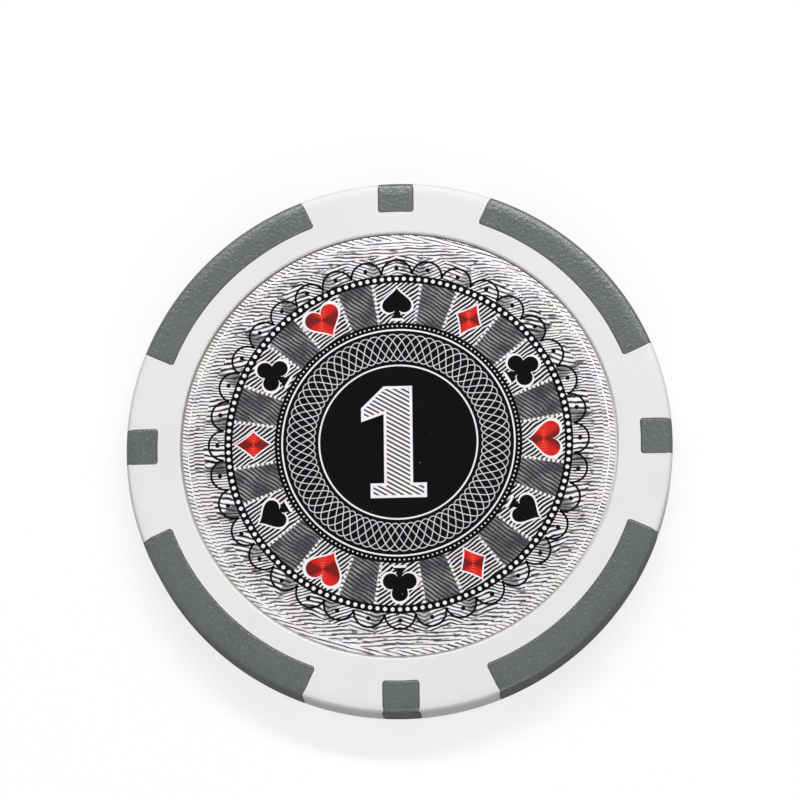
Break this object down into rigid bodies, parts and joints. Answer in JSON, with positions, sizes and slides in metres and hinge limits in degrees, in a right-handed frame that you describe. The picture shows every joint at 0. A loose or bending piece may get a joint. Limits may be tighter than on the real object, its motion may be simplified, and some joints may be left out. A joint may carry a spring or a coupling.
{
  "type": "poker chip",
  "caption": "Round moulded gaming chip with a white body, grey edge spots, a sealed steel slug and a recessed silver foil label on each face.",
  "frame": {"origin": "centre of the back face, in the plane of the rim that the chip lies on", "axes": "+Z out of the front face along the chip's axis, +X through the middle of one short edge spot"},
  "size_m": [0.04, 0.04, 0.0033],
  "materials": {
    "white_plastic": "satin",
    "grey_plastic": "satin",
    "slug_steel": "satin",
    "label_adhesive": "satin",
    "label_foil": "gloss"
  },
  "bodies": {
    "root": {"chip_body": "white_plastic", "spot_frame": "grey_plastic", "steel_slug": "slug_steel", "front_label_adhesive": "label_adhesive", "front_label": "label_foil", "back_label_adhesive": "label_adhesive", "back_label": "label_foil"}
  },
  "joints": []
}
